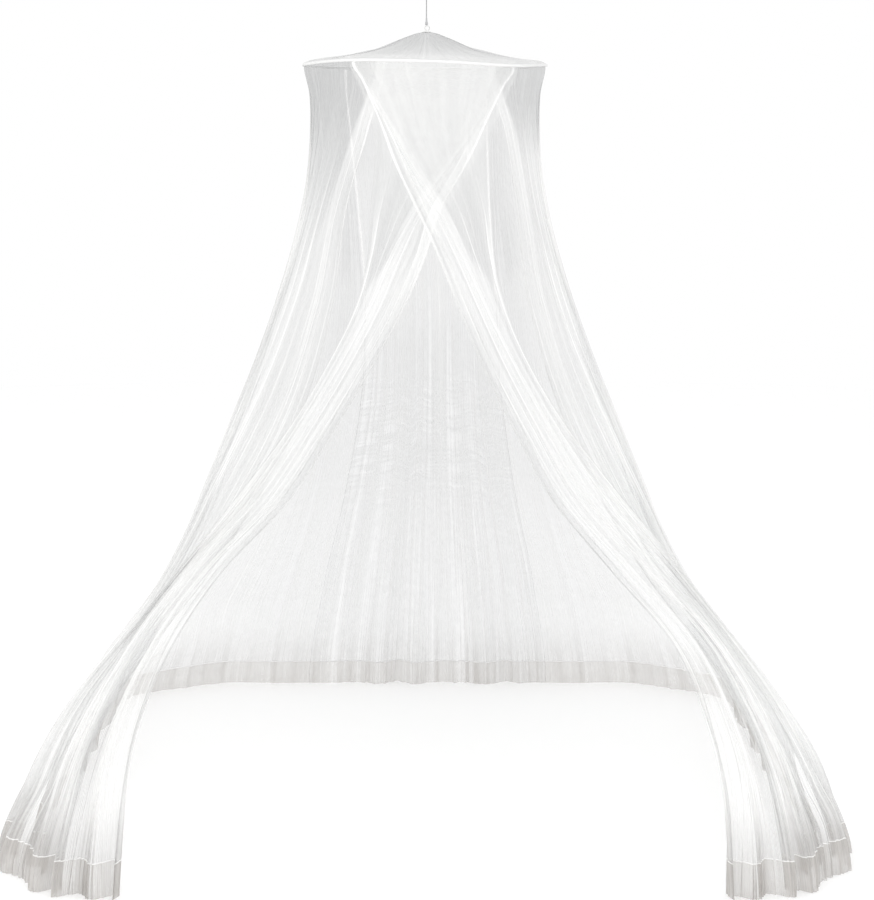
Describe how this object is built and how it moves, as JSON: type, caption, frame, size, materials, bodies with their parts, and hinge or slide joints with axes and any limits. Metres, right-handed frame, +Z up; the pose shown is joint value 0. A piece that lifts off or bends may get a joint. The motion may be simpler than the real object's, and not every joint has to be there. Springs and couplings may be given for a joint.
{
  "type": "mosquito net canopy with hoop",
  "caption": "Round bed canopy of fine net that falls from a ceiling-hung hoop to the floor, with a tent crown and crossed panels over its entrance.",
  "frame": {"origin": "middle of the ceiling plate's top face, where the ceiling holds it", "axes": "+Z up, +X to the right seen from the entrance, the entrance faces -Y"},
  "size_m": [2.526, 2.2708, 2.7003],
  "materials": {
    "white_metal": "satin",
    "grey_cord": "braided",
    "grey_cap": "matte",
    "white_plastic": "satin",
    "white_tape": "woven tape",
    "crown_net": "fine net",
    "white_rod": "satin",
    "white_net": "fine net"
  },
  "bodies": {
    "root": {"ceiling_plate": "white_metal", "ceiling_hook": "white_metal", "cord_loop": "grey_cord", "cord_knot": "grey_cord", "hanging_cord": "grey_cord", "cord_cap": "grey_cap", "top_ring": "white_plastic", "ring_tab": "white_tape", "apex_patch": "white_tape", "crown": "crown_net", "hoop": "white_rod", "rim_binding": "white_tape", "wall_left": "white_net", "wall_back": "white_net", "wall_right": "white_net", "panel_left": "white_net", "panel_right": "white_net"}
  },
  "joints": []
}
